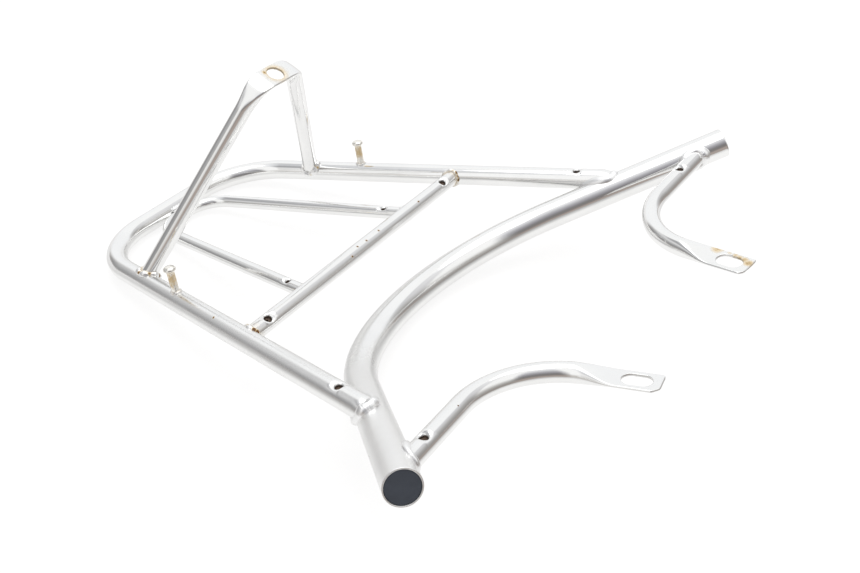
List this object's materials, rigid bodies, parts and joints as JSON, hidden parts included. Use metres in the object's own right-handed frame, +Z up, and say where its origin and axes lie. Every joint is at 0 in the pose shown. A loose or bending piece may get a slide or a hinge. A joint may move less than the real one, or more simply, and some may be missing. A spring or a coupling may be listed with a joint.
{
  "type": "rear luggage rack with grab bar",
  "caption": "Welded chromed tube rear rack: tapered deck loop with cross bar and inner loop, bowed grab bar, leaning rear stay with bolt eye and slotted mounting arms.",
  "frame": {"origin": "middle of the lying rack's footprint, on the surface that the bow and the rear bar rest on", "axes": "+X across the rack, +Y to its rear end, +Z up as it lies, which is down when it is fitted"},
  "size_m": [0.4492, 0.4684, 0.1645],
  "materials": {
    "chrome_tube": "bright chrome plate on steel tube, with fine scratches and spots of rust",
    "weld_bead": "plated weld bead, lumpy, with brown rust in the creases",
    "strap_peg": "plated steel gone dull, yellow-brown rust film",
    "end_plug": "moulded black plastic, matt, fine grain"
  },
  "bodies": {
    "root": {"grab_bar": "chrome_tube", "outer_loop": "chrome_tube", "inner_loop": "chrome_tube", "cross_bar": "chrome_tube", "rear_stay": "chrome_tube", "left_arm": "chrome_tube", "right_arm": "chrome_tube", "left_loop_weld": "weld_bead", "right_loop_weld": "weld_bead", "left_cross_weld": "weld_bead", "right_cross_weld": "weld_bead", "left_inner_weld": "weld_bead", "right_inner_weld": "weld_bead", "left_stay_weld": "weld_bead", "right_stay_weld": "weld_bead", "left_arm_weld": "weld_bead", "right_arm_weld": "weld_bead", "left_peg_weld": "weld_bead", "right_peg_weld": "weld_bead", "rear_weld": "weld_bead", "left_peg": "strap_peg", "right_peg": "strap_peg", "left_end_plug": "end_plug", "right_end_plug": "end_plug"}
  },
  "joints": []
}
